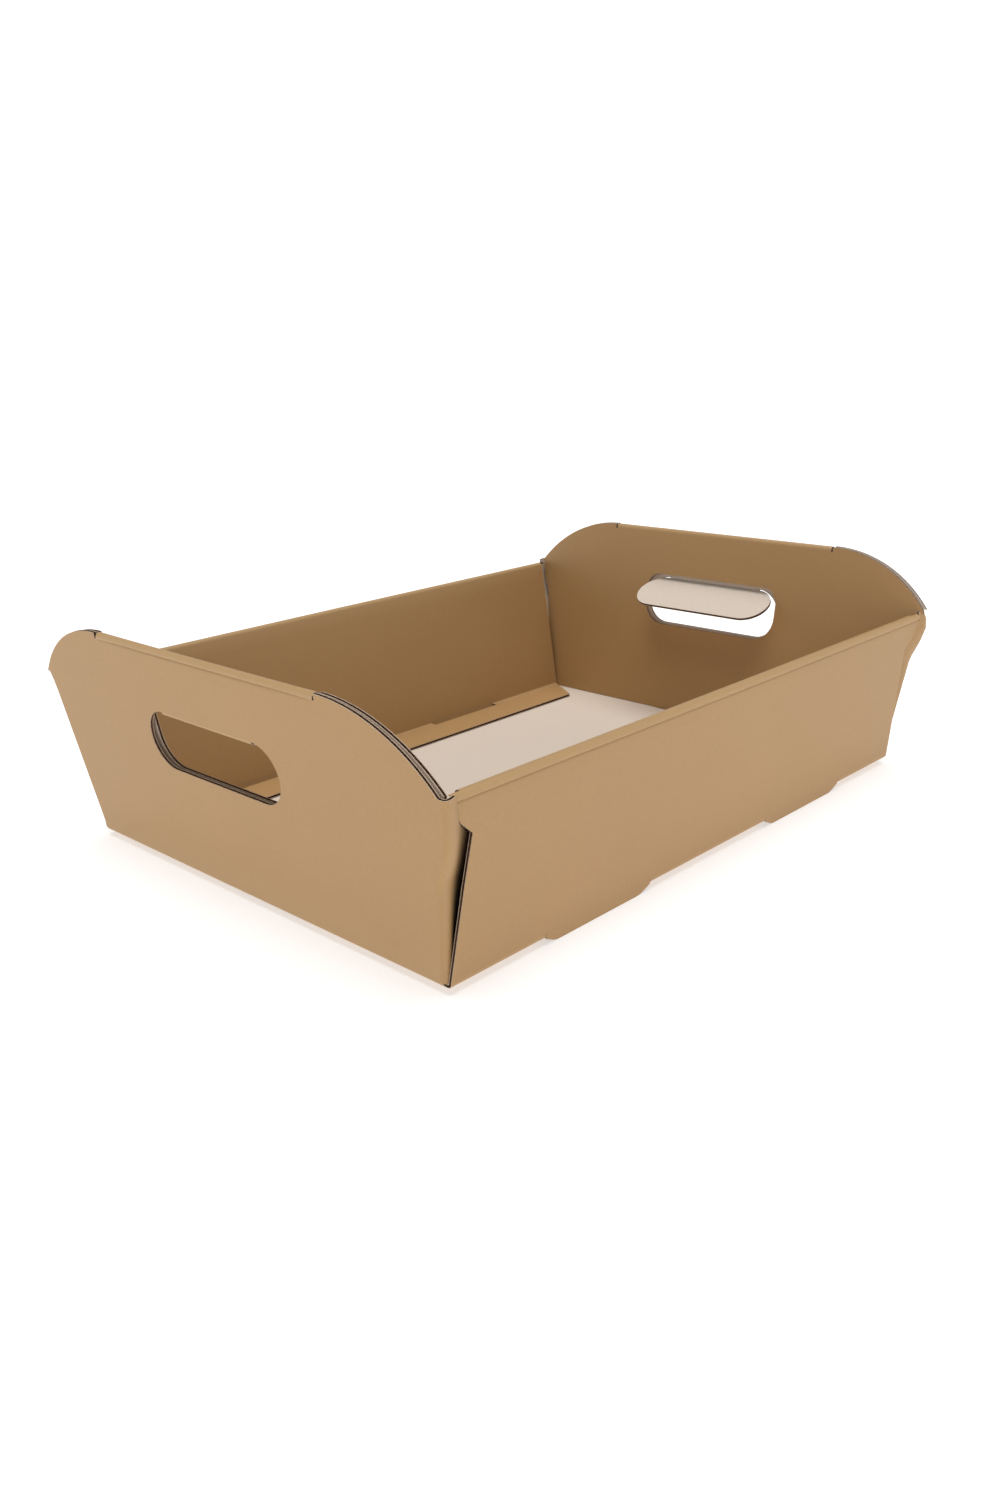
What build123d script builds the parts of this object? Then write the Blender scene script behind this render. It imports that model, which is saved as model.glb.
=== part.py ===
from build123d import *
import os
from math import atan, cos, radians, sin, tan

os.makedirs("parts", exist_ok=True)

# Cardboard tray box, folded from one sheet of fluted board and locked by its own tabs.
# X runs along the tray, Y across it and Z up. Z = 0 is the surface that it stands on,
# under the middle of the base. All sizes are in millimetres and angles in degrees.

# --- board ---
board = 1.6                 # thickness of the fluted board
ply_gap = 0.25              # air between two layers that lie on each other
cut_gap = 0.3               # width of a die cut between a flap and its hole
crease_bend = 1.4           # middle radius of a fold in the board

# --- overall sizes, to the outside of the board ---
base_length = 350.0         # crease to crease, along X
base_width = 255.6          # crease to crease, along Y
side_height = 84.4          # long sides, from the underside of the base
end_height = 114.3          # short ends, from the underside of the base
side_lean = 8.0             # the long sides lean out by this
end_lean = 8.36             # the short ends lean out by this
foot_height = 3.2           # the base stands this far off the table

# --- double long sides ---
side_rim = 5.3              # width over both layers at the rim
side_toe = 12.3             # inner face of the lining to the base crease, at the floor
rim_bend = 1.8              # middle radius of the rim's outer fold
lining_end_gap = 1.0        # lining's end to the end lining, at the floor
lining_end_rise = 6.6       # the lining's end runs out by this from floor to rim
flange_width = 24.8         # strip of the lining that lies on the floor
flange_taper = 14.0         # its ends are cut back by this at the front
flange_end_inset = 1.0      # its ends stand in from the lining's end

# --- double short ends ---
end_rim = 4.4
end_toe = 7.0
end_fold_half = 78.4        # half the length of the straight fold on top
fold_nick = 1.2             # relief cut at each end of that fold
shoulder_above_rim = 1.2    # the rounded shoulders stop this far above the long sides' rim
shoulder_past_fold = 1.4    # and this far outside the corner fold

# --- ears at the top corners ---
end_ear = 6.4               # end wall's ear stands out this far past the corner fold
ear_step = 6.0              # height of the sloping step under each ear
side_ear_inset = 7.7        # long side's ear stops this far inside the end wall, at the rim
side_ear_low_inset = 10.6   # and at the bottom of the ear
side_waist_inset = 16.5     # its cut edge under the ear
side_middle_inset = 10.5    # its cut edge half way down
side_cut_inset = 1.0        # its cut edge at the base crease

# --- corner flaps, tucked between the two layers of the long sides ---
tuck_flap_length = 62.0
tuck_flap_height = 66.0     # the ears start above it
tuck_flap_drop = 8.0        # top edge falls by this towards the flap's end
tuck_flap_low = 3.4
tuck_flap_corner = 10.0

# --- feet, lock tabs and slots ---
foot_middle = 83.5          # from the middle of the tray
foot_length = 71.0
foot_corner = 3.0
foot_slot_margin = 0.4
lock_middle = 75.5
lock_length = 55.0
lock_drop = 0.6             # lock tabs reach this far under the base
lock_notch = 3.4            # depth of the notch in the flange beside a lock tab
lock_clearance = 0.35
end_lock_length = 60.0

# --- hand holes and their flaps ---
hole_length = 95.0
hole_height = 28.4
hole_low = 56.0             # bottom of the hole, up the slope of the end
hole_near_shift = 3.0       # middle of the near hole, along Y
hole_far_shift = 1.0
lining_hole_over = 0.4      # the lining's hole is longer by this in all,
lining_hole_under = 0.3     # lower by this
lining_hole_above = 3.2     # and higher by this, to clear the flap
lining_hole_corner = 9.0    # tighter corners at its top, for the same reason
near_flap_angle = 80.0      # pushed in by this from flush
far_flap_angle = 55.0

# --- worked out from the sizes above ---
half = board / 2
half_length = base_length / 2
half_width = base_width / 2
side_slope = tan(radians(side_lean))
end_slope = tan(radians(end_lean))
side_slant = side_height / cos(radians(side_lean))
end_slant = end_height / cos(radians(end_lean))
side_lining_foot = half_width - side_toe
end_lining_foot = half_length - end_toe
side_lining_slope = (half_width + side_slope * side_height - side_rim - side_lining_foot) / side_height
end_lining_slope = (half_length + end_slope * end_height - end_rim - end_lining_foot) / end_height
flange_level = board + ply_gap + half           # middle of the flange, above the base's underside
tuck_half = half_width - board / cos(radians(side_lean)) - ply_gap      # outer face of a corner flap
hinge_slant = hole_low + hole_height
ear_low = tuck_flap_height + ear_step
spare = 2.0                                     # neighbouring stretches of the sheet share this much


def raised(x_dir, z_dir, x=0.0, y=0.0):
    """A plane through a point on the underside of the base."""
    return Plane(origin=(x, y, foot_height), x_dir=x_dir, z_dir=z_dir)


# Each leaning plane lies on one face of a wall: local Y runs up the slope, the normal points out.
far_face = raised((0, 1, 0), (1, 0, -end_slope), x=half_length)
far_lining_face = raised((0, 1, 0), (1, 0, -end_lining_slope), x=end_lining_foot)
near_face = raised((0, -1, 0), (-1, 0, -end_slope), x=-half_length)
near_lining_face = raised((0, -1, 0), (-1, 0, -end_lining_slope), x=-end_lining_foot)
side_face = raised((-1, 0, 0), (0, 1, -side_slope), y=half_width)
side_lining_face = raised((-1, 0, 0), (0, 1, -side_lining_slope), y=side_lining_foot)
tuck_face = raised((-1, 0, 0), (0, 1, -side_slope), y=tuck_half)
cross_section = raised((0, 1, 0), (1, 0, 0))
long_section = raised((1, 0, 0), (0, -1, 0))


def up_slope(height, slope):
    """Distance up a leaning wall that reaches a height."""
    return height / cos(atan(slope))


def corner(foot, slope, height, side):
    """Middle of a leaning sheet at a height; side is -1 inside the plane at foot, 1 outside it."""
    return (foot + slope * height + side * up_slope(half, slope), height)


def along(point, slope, length):
    """The point this far up a leaning line, or down it where length is negative."""
    return (point[0] + length * sin(atan(slope)), point[1] + length * cos(atan(slope)))


def leg(bend, slope):
    """Straight sheet that a fold of this radius takes up on each side, and a little over."""
    return bend * tan((radians(90) - atan(slope)) / 2) + half


def rim_radius(bend, other_bend, rim, slope):
    """A rim fold's radius, which is less than asked for where both folds don't fit in the rim."""
    share = bend / (bend + other_bend)
    return min(bend, 0.95 * share * (rim - board) / tan((radians(90) - atan(slope)) / 2))


def corner_line(height):
    """Outer face of the corner flaps, from the middle of the tray, at a height."""
    return tuck_half + side_slope * height


def end_inside(height):
    """Inner face of an end lining, from the middle of the tray, at a height."""
    return end_lining_foot + end_lining_slope * height


def lining_end(height):
    """Cut end of a long side's lining at a height."""
    return end_inside(board) - lining_end_gap + lining_end_rise * height / side_height


def end_outside(height):
    """Outer face of an end wall at a height."""
    return half_length + end_slope * height


def folded_sheet(*middle, radius):
    """Section of the sheet along its middle line, with its folds, in the open sketch."""
    with BuildLine() as line:
        FilletPolyline(*middle, radius=radius)
    for stretch in line.edges():
        trace(stretch, line_width=board)


# --- base panel: slots for the lock tabs at its sides and ends, and beside the feet ---
side_slot = up_slope(board, side_lining_slope) + side_lining_slope * board + 2 * lock_clearance
end_slot = up_slope(board, end_lining_slope) + end_lining_slope * board + 2 * lock_clearance
side_slot_at = corner(side_lining_foot, side_lining_slope, half, 1)[0]
end_slot_at = corner(end_lining_foot, end_lining_slope, half, 1)[0]
foot_slot_length = foot_length + 2 * foot_slot_margin
foot_slot_depth = foot_height + foot_slot_margin
base_inset = 2 * crease_bend

with BuildPart() as base_panel:
    with BuildSketch(Plane.XY.offset(foot_height)):
        Rectangle(base_length - 2 * base_inset, base_width - 2 * base_inset)
        with GridLocations(2 * lock_middle, 2 * side_slot_at, 2, 2):
            Rectangle(lock_length + 2 * lock_clearance, side_slot, mode=Mode.SUBTRACT)
        with GridLocations(2 * end_slot_at, 0, 2, 1):
            Rectangle(end_slot, end_lock_length + 2 * lock_clearance, mode=Mode.SUBTRACT)
        with GridLocations(2 * foot_middle, 2 * half_width, 2, 2):
            Rectangle(foot_slot_length, 2 * foot_slot_depth, mode=Mode.SUBTRACT)
    extrude(amount=board)

# --- folds between the base and the outer walls ---
end_crease = corner(half_length, end_slope, half, -1)
side_crease = corner(half_width, side_slope, half, -1)
end_crease_leg = leg(crease_bend, end_slope)
side_crease_leg = leg(crease_bend, side_slope)

with BuildPart() as end_crease_fold:
    with BuildSketch(long_section):
        folded_sheet(
            (end_crease[0] - end_crease_leg - spare, half),
            end_crease,
            along(end_crease, end_slope, end_crease_leg + spare),
            radius=crease_bend,
        )
    extrude(amount=tuck_half - half, both=True)

with BuildPart() as side_crease_fold:
    with BuildSketch(cross_section):
        folded_sheet(
            (side_crease[0] - side_crease_leg - spare, half),
            side_crease,
            along(side_crease, side_slope, side_crease_leg + spare),
            radius=crease_bend,
        )
    extrude(amount=half_length - side_cut_inset, both=True)
    with GridLocations(2 * foot_middle, 0, 2, 1):
        with Locations((0, half_width - foot_slot_depth, 0)):
            Box(
                foot_slot_length,
                foot_slot_depth + board,
                side_height / 4,
                align=(Align.CENTER, Align.MIN, Align.MIN),
                mode=Mode.SUBTRACT,
            )

# --- long side: outer layer with an ear at each end, and the feet left by its base slots ---
side_low = up_slope(half, side_slope) + side_crease_leg
side_rim_out_bend = rim_radius(rim_bend, crease_bend, side_rim, side_slope)
side_rim_in_bend = rim_radius(crease_bend, rim_bend, side_rim, side_lining_slope)
side_top = side_slant - half - leg(side_rim_out_bend, side_slope)

with BuildPart() as side_wall:
    with BuildSketch(side_face):
        with BuildLine():
            Polyline(
                (0, side_low),
                (half_length - side_cut_inset, side_low),
                (end_outside(side_height / 2) - side_middle_inset, side_slant / 2),
                (end_outside(tuck_flap_height) - side_waist_inset, up_slope(tuck_flap_height, side_slope)),
                (end_outside(ear_low) - side_ear_low_inset, up_slope(ear_low, side_slope)),
                (end_outside(side_height) - side_ear_inset, side_top),
                (0, side_top),
                close=True,
            )
        make_face()
        mirror(about=Plane.YZ)
    extrude(amount=-board)

foot_tip = up_slope(foot_height, side_slope) + half

with BuildPart() as side_feet:
    with BuildSketch(side_face):
        with GridLocations(2 * foot_middle, 0, 2, 1):
            with Locations((0, (side_low + spare - foot_tip) / 2)):
                Rectangle(foot_length, side_low + spare + foot_tip)
    extrude(amount=-board)
    split(bisect_by=Plane.XY, keep=Keep.TOP)
    fillet(edges().filter_by(Axis.Y, tolerance=12).group_by(Axis.Z)[0], radius=foot_corner)

# --- long side: folded rim, a double crease that turns the sheet over into the lining ---
side_rim_out = corner(half_width, side_slope, side_height - half, -1)
side_rim_in = corner(side_lining_foot, side_lining_slope, side_height - half, 1)

with BuildPart() as side_rim_fold:
    with BuildSketch(cross_section):
        folded_sheet(
            along(side_rim_out, side_slope, -leg(side_rim_out_bend, side_slope) - spare),
            side_rim_out,
            side_rim_in,
            along(side_rim_in, side_lining_slope, -leg(side_rim_in_bend, side_lining_slope) - spare),
            radius=(side_rim_out_bend, side_rim_in_bend),
        )
    extrude(amount=end_outside(side_height) - side_ear_inset, both=True)
    rim_middle = (side_rim_out[0] + side_rim_in[0]) / 2
    for side in (-1, 1):
        with Locations((side * lining_end(side_height), rim_middle, foot_height + side_height / 2)):
            Box(
                side_toe,
                side_toe,
                side_height,
                align=(Align.MIN if side > 0 else Align.MAX, Align.MAX, Align.MIN),
                mode=Mode.SUBTRACT,
            )

# --- long side: lining, its flange on the floor and the lock tabs cut out of the flange ---
lining_low = up_slope(flange_level, side_lining_slope) + leg(crease_bend, side_lining_slope)
lining_top = up_slope(side_height - half, side_lining_slope) - leg(side_rim_in_bend, side_lining_slope)
flange_crease = corner(side_lining_foot, side_lining_slope, flange_level, 1)
flange_back = side_lining_foot + side_lining_slope * flange_level
flange_end = lining_end(flange_level) - flange_end_inset

with BuildPart() as side_lining:
    with BuildSketch(side_lining_face):
        with BuildLine():
            Polyline(
                (0, lining_low),
                (lining_end(lining_low), lining_low),
                (lining_end(lining_top), lining_top),
                (0, lining_top),
                close=True,
            )
        make_face()
        mirror(about=Plane.YZ)
    extrude(amount=board)

with BuildPart() as flange:
    with BuildSketch(cross_section):
        folded_sheet(
            (flange_crease[0] - leg(crease_bend, side_lining_slope) - spare, flange_level),
            flange_crease,
            along(flange_crease, side_lining_slope, leg(crease_bend, side_lining_slope) + spare),
            radius=crease_bend,
        )
    extrude(amount=flange_end, both=True)
    with BuildSketch(Plane.XY.offset(foot_height + board + ply_gap)):
        with BuildLine():
            Polyline(
                (0, flange_back - spare),
                (flange_end, flange_back - spare),
                (flange_end - flange_taper, flange_back - flange_width),
                (0, flange_back - flange_width),
                close=True,
            )
        make_face()
        mirror(about=Plane.YZ)
    extrude(amount=board)
    notch_reach = lock_notch + side_toe
    with GridLocations(2 * lock_middle, 0, 2, 1):
        with Locations((0, flange_back - lock_notch, foot_height)):
            Box(
                lock_length + 2 * cut_gap,
                notch_reach,
                side_height / 4,
                align=(Align.CENTER, Align.MIN, Align.MIN),
                mode=Mode.SUBTRACT,
            )

with BuildPart() as side_lock_tabs:
    with BuildSketch(side_lining_face):
        with GridLocations(2 * lock_middle, 0, 2, 1):
            with Locations((0, -lock_drop)):
                Rectangle(lock_length, lining_low + lock_drop + spare, align=(Align.CENTER, Align.MIN))
    extrude(amount=board)

# --- end: outer layer with its rounded shoulders, ears and the folded rim ---
end_low = up_slope(half, end_slope) + end_crease_leg
end_rim_bend = rim_radius(crease_bend, crease_bend, end_rim, end_slope)
end_top = end_slant - half - leg(end_rim_bend, end_slope)
flat_edge = leg(crease_bend, 0)                 # the flat sheet stops here, short of the corner fold
shoulder_height = side_height + shoulder_above_rim
shoulder_out = corner_line(shoulder_height) + shoulder_past_fold
tuck_top = up_slope(tuck_flap_height, end_slope) + half

with BuildPart() as end_wall:
    with BuildSketch(far_face):
        with BuildLine():
            shoulder_foot = (shoulder_out, up_slope(shoulder_height, end_slope))
            Polyline(
                (0, end_top),
                (0, end_low),
                (corner_line(end_low) - flat_edge, end_low),
                (corner_line(tuck_top) - flat_edge, tuck_top),
                (corner_line(ear_low) + end_ear, up_slope(ear_low, end_slope)),
                (corner_line(shoulder_height) + end_ear, shoulder_foot[1]),
                shoulder_foot,
            )
            TangentArc(
                (end_fold_half + fold_nick, end_slant),
                shoulder_foot,
                tangent=(1, 0),
            )
            Polyline(
                (end_fold_half + fold_nick, end_slant),
                (end_fold_half + fold_nick, end_top),
                (0, end_top),
            )
        make_face()
        mirror(about=Plane.YZ)
    extrude(amount=-board)

end_rim_out = corner(half_length, end_slope, end_height - half, -1)
end_rim_in = corner(end_lining_foot, end_lining_slope, end_height - half, 1)

with BuildPart() as end_rim_fold:
    with BuildSketch(long_section):
        folded_sheet(
            along(end_rim_out, end_slope, -leg(end_rim_bend, end_slope) - spare),
            end_rim_out,
            end_rim_in,
            along(end_rim_in, end_lining_slope, -leg(end_rim_bend, end_lining_slope) - spare),
            radius=end_rim_bend,
        )
    extrude(amount=end_fold_half, both=True)

# --- end: lining, held down by a lock tab in the base ---
end_lining_low = up_slope(board + ply_gap, end_lining_slope)
end_lining_slant = up_slope(end_height, end_lining_slope)
end_lining_top = end_lining_slant - half - leg(end_rim_bend, end_lining_slope)
tuck_inside = up_slope(board, side_slope) + 2 * ply_gap     # clears the corner flap

with BuildPart() as end_lining:
    with BuildSketch(far_lining_face):
        with BuildLine():
            lining_shoulder_foot = (shoulder_out, up_slope(shoulder_height, end_lining_slope))
            Polyline(
                (0, end_lining_top),
                (0, end_lining_low),
                (corner_line(end_lining_low) - tuck_inside, end_lining_low),
                (corner_line(tuck_top) - tuck_inside, tuck_top + half),
                (corner_line(ear_low), ear_low),
                lining_shoulder_foot,
            )
            TangentArc(
                (end_fold_half + fold_nick, end_lining_slant),
                lining_shoulder_foot,
                tangent=(1, 0),
            )
            Polyline(
                (end_fold_half + fold_nick, end_lining_slant),
                (end_fold_half + fold_nick, end_lining_top),
                (0, end_lining_top),
            )
        make_face()
        mirror(about=Plane.YZ)
        with Locations((0, -lock_drop)):
            Rectangle(end_lock_length, end_lining_low + lock_drop + spare,
                      align=(Align.CENTER, Align.MIN))
    extrude(amount=board)

# --- corner: fold along the end wall's side edge, and the flap that it carries ---
fold_line = Vector(end_slope, side_slope, 1).normalized()
end_normal = Vector(1, 0, -end_slope).normalized()
tuck_normal = Vector(0, 1, -side_slope).normalized()
into_end = end_normal.cross(fold_line)
into_tuck = fold_line.cross(tuck_normal)
corner_plane = Plane(
    origin=(half_length, tuck_half, foot_height),
    x_dir=into_end,
    z_dir=fold_line,
)


def in_corner(vector):
    """A direction in the plane across the corner fold."""
    return Vector(vector.dot(into_end), vector.dot(end_normal))


tuck_out = in_corner(tuck_normal)
tuck_in = in_corner(into_tuck)
corner_leg = flat_edge + spare
corner_point = Vector(half * (tuck_out.Y - 1) / tuck_out.X, -half)
fold_low = tuck_flap_low - board

with BuildPart() as corner_fold:
    with BuildSketch(corner_plane.offset(fold_low)):
        folded_sheet(
            corner_point + Vector(corner_leg, 0),
            corner_point,
            corner_point + tuck_in * corner_leg,
            radius=crease_bend,
        )
    extrude(amount=tuck_flap_height / fold_line.Z - fold_low)

tuck_reach = half_length - tuck_flap_length

with BuildPart() as corner_flap:
    with BuildSketch(tuck_face):
        with BuildLine():
            Polyline(
                (-(end_outside(tuck_flap_low) - flat_edge), tuck_flap_low),
                (-(end_outside(tuck_flap_height) - flat_edge), tuck_flap_height),
                (-tuck_reach, tuck_flap_height - tuck_flap_drop),
                (-tuck_reach, tuck_flap_low),
                close=True,
            )
        make_face()
        fillet(vertices().group_by(Axis.X)[-1], radius=tuck_flap_corner)
    extrude(amount=-board)

# --- one long side, and one end with both of its corners ---
with BuildPart() as long_side:
    add(side_crease_fold.part)
    add(side_wall.part)
    add(side_feet.part)
    add(side_rim_fold.part)
    add(side_lining.part)
    add(flange.part)
    add(side_lock_tabs.part)

with BuildPart() as short_end:
    add(corner_fold.part)
    add(corner_flap.part)
    mirror(about=Plane.XZ)
    add(end_crease_fold.part)
    add(end_wall.part)
    add(end_rim_fold.part)
    add(end_lining.part)

# --- tray: the whole blank, folded up, with the hand holes cut through both layers ---
hole_middle = hole_low + hole_height / 2
lining_hole_height = hole_height + lining_hole_under + lining_hole_above
lining_hole_middle = hole_middle + (lining_hole_above - lining_hole_under) / 2

with BuildPart() as tray:
    add(base_panel.part)
    add(long_side.part)
    mirror(long_side.part, about=Plane.XZ)
    add(short_end.part)
    mirror(short_end.part, about=Plane.YZ)
    for wall, lining, shift in (
        (far_face, far_lining_face, hole_far_shift),
        (near_face, near_lining_face, -hole_near_shift),
    ):
        with BuildSketch(wall):
            with Locations((shift, hole_middle)):
                SlotOverall(hole_length, hole_height)
        extrude(amount=-board - ply_gap, mode=Mode.SUBTRACT)
        with BuildSketch(lining):
            with Locations((shift, lining_hole_middle)):
                Rectangle(hole_length + lining_hole_over, lining_hole_height)
            fillet(vertices().group_by(Axis.Y)[-1], radius=lining_hole_corner)
            fillet(vertices().group_by(Axis.Y)[0], radius=hole_height / 2)
        extrude(amount=board + ply_gap, mode=Mode.SUBTRACT)
    # the ear at the back of the near end is bent away round the corner, so it stops at the fold
    with BuildSketch(near_face):
        with BuildLine():
            Polyline(
                (-corner_line(tuck_flap_height), tuck_flap_height),
                (-corner_line(end_height), end_height),
                (-corner_line(end_height) - 2 * end_ear, end_height),
                (-corner_line(tuck_flap_height) - 2 * end_ear, tuck_flap_height),
                close=True,
            )
        make_face()
    extrude(amount=-board - ply_gap, mode=Mode.SUBTRACT)

tray.part.label = "tray"
export_step(tray.part, "parts/tray.step")


# --- hand-hole flaps: cut out of the end walls, and still joined to them along the crease on top ---
def flap_plane(wall, shift, angle):
    """Face of a flap that was pushed in by an angle about the crease at the top of its hole."""
    up = wall.y_dir
    out = wall.z_dir
    swung_out = out * cos(radians(angle)) - up * sin(radians(angle))
    crease = wall.from_local_coords(Vector(shift, hinge_slant, -board))
    return Plane(origin=crease, x_dir=wall.x_dir, z_dir=swung_out)


for name, wall, shift, angle in (
    ("far_hand_flap", far_face, hole_far_shift, far_flap_angle),
    ("near_hand_flap", near_face, -hole_near_shift, near_flap_angle),
):
    with BuildPart() as hand_flap:
        with BuildSketch(flap_plane(wall, shift, angle)):
            with Locations((0, -hole_height / 2)):
                SlotOverall(hole_length - 2 * cut_gap, hole_height - 2 * cut_gap)
        extrude(amount=board)
    hand_flap.part.label = name
    export_step(hand_flap.part, "parts/" + name + ".step")
    crease = flap_plane(wall, shift, angle).origin
    print(name, "crease at", round(crease.X, 3), round(crease.Y, 3), round(crease.Z, 3))
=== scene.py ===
"""Cardboard tray box: the visible board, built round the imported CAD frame.

The tray is one blank of fluted board, folded up: a printed liner, a wavy medium and a white liner.
Outlines are drawn on the flat board in millimetres and then folded up along the tray's sections.
"""

import math

import bmesh
import bpy
from mathutils import Matrix, Vector


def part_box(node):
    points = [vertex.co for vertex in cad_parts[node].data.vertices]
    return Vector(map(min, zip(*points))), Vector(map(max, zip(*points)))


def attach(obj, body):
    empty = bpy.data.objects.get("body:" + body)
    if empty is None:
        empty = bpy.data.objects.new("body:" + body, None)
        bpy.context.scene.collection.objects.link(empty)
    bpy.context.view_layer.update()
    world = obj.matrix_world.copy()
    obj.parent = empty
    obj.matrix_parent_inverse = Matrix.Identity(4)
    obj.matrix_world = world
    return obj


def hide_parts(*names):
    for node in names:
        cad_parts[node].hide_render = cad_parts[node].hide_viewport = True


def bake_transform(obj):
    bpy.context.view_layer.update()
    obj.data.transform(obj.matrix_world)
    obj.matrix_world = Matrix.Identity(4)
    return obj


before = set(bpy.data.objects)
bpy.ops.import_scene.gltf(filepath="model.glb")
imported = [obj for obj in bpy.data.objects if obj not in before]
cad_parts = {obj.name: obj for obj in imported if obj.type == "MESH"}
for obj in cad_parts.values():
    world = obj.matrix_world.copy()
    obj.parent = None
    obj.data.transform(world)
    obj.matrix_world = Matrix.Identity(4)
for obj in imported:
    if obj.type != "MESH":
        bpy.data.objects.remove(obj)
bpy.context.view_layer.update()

bl_info = {
    "name": "Cardboard Tray Box",
    "version": (1, 0, 0),
    "blender": (4, 5, 0),
    "location": "View3D > Sidebar > Tray Box",
    "description": "Builds the visible board of a folded cardboard tray box round its packed frame",
    "category": "Object",
}

# --- sizes of the folded tray, in millimetres and degrees ---
MM = 0.001
BOARD = 1.6
HALF = BOARD / 2
PLY_GAP = 0.25
CUT_GAP = 0.3
CREASE_BEND = 1.4
SIDE_LEAN = 8.0
END_LEAN = 8.36
FOOT_HEIGHT = 3.2
BASE_WIDTH = 255.6
SIDE_HEIGHT = 84.4
SIDE_RIM = 5.3
SIDE_TOE = 12.3
RIM_BEND = 1.8
LINING_END_GAP = 1.0
LINING_END_RISE = 6.6
FLANGE_WIDTH = 24.8
FLANGE_TAPER = 14.0
FLANGE_END_INSET = 1.0
END_RIM = 4.4
END_TOE = 7.0
END_FOLD_HALF = 78.4
FOLD_NICK = 1.2
SHOULDER_ABOVE_RIM = 1.2
SHOULDER_PAST_FOLD = 1.4
EAR_STEP = 6.0
SIDE_EAR_INSET = 7.7
SIDE_EAR_LOW_INSET = 10.6
SIDE_WAIST_INSET = 16.5
SIDE_MIDDLE_INSET = 10.5
SIDE_CUT_INSET = 1.0
TUCK_FLAP_LENGTH = 62.0
TUCK_FLAP_HEIGHT = 66.0
TUCK_FLAP_DROP = 8.0
TUCK_FLAP_LOW = 3.4
TUCK_FLAP_CORNER = 10.0
FOOT_MIDDLE = 83.5
FOOT_LENGTH = 71.0
FOOT_TAPER = 7.0            # the feet's worn ends slope in by this
FOOT_SOFT = 9.0
FOOT_SLOT_MARGIN = 0.4
LOCK_MIDDLE = 75.5
LOCK_LENGTH = 55.0
LOCK_DROP = 0.6
LOCK_NOTCH = 3.4
LOCK_CLEARANCE = 0.35
END_LOCK_LENGTH = 60.0
HOLE_LENGTH = 95.0
HOLE_HEIGHT = 28.4
HOLE_LOW = 56.0
HOLE_NEAR_SHIFT = 3.0
HOLE_FAR_SHIFT = 1.0
LINING_HOLE_OVER = 0.4
LINING_HOLE_UNDER = 0.3
LINING_HOLE_ABOVE = 3.2
LINING_HOLE_CORNER = 9.0
NEAR_FLAP_ANGLE = 80.0
FAR_FLAP_ANGLE = 55.0
CORNER_BULGE = {            # heights, and how far each corner fold stands out of its straight line there
    (-1, -1): ((47.0, 0.0), (56.0, 2.9), (64.0, 4.5), (72.0, 5.0), (85.3, 5.2)),
    (-1, 1): ((76.0, 0.0), (81.0, 0.4), (85.3, 1.3)),
    (1, -1): ((56.0, 0.0), (60.0, 0.6), (68.0, 3.0), (76.0, 4.2), (81.0, 2.9), (85.3, 0.2)),
    (1, 1): ((56.0, 0.0), (64.0, 2.6), (72.0, 4.4), (85.3, 4.8)),
}
BULGE_REACH = 15.0          # and dies out this far along the flap
TUCK_SINK = 6.2             # the tucked flap sinks this far behind the long side at its foot
TUCK_SINK_FALL = 0.075      # and this much less for each millimetre up
SINK_REACH = 12.0           # it has sunk that far at this distance from the fold
PAINTED_GAP_SHADE = {(-1, -1): 1.0, (-1, 1): 0.6, (1, -1): 0.0, (1, 1): 0.6}    # how dark the painted shade in each corner's gap is
GAP_START = 0.25            # share of the flap's open part that the painted shade leaves clear
EAR_GAP = 0.7               # between the flap's edge and the long side's ear
EAR_TOP = 85.3
EDGE_HEIGHTS = (3.0, 20.0, 34.0, 47.0, 56.0, 60.0, 64.0, 68.0, 72.0, 76.0, 81.0, 85.3)
FLAP_BEND = 1.1             # middle radius of the soft crease that a hand flap swings on
FLAP_ROOT = 0.3             # that crease starts this far above the hole
SIDE_JOINT = 6.0            # the base panel stops this far inside the side creases
END_JOINT = 3.0             # and this far inside the end creases
ARC_STEP = 12.0             # degrees of a fold between two rows of the mesh
LINER_CELL = 20.0
FLUTE_CELL = 70.0
FLUTE_STEPS = 6             # rows of the mesh in one flute
MEDIUM_INSET = 0.12         # the wavy medium is cut this far short of the liners
SPARE = 10.0                # a straight path runs this far past the panel laid on it
PANEL_GAP = 0.05            # keeps feet and lock tabs from being welded to the walls above them
RIM_SEAM = 2.2              # the ends' folded rims are made from this far below their folds
CREASE_SPREAD = 0.45        # half width of a pressed crease
CREASE_BEFORE_FOLD = 0.2    # and how far before the fold it lies
CREASE_FADE = 4.0           # the ends' creases fade out over this at each end
CREASE_ROWS = (-1.0, -0.6, -0.3, 0.0, 0.3, 0.6, 1.0)

# --- camera, in metres and degrees ---
CAMERA_PLACE = (-0.46728, -0.44175, 0.24712)
CAMERA_TURN = (-45.917, 18.89, -1.666)      # azimuth, elevation and roll
CAMERA_LENS = 30.2

PRINTED, WHITE, INSIDE, CUT, MEDIUM = range(5)     # order of the materials on each piece

OVERHEAD_SPREAD = 50.0      # width of the overhead light, in degrees

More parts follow.
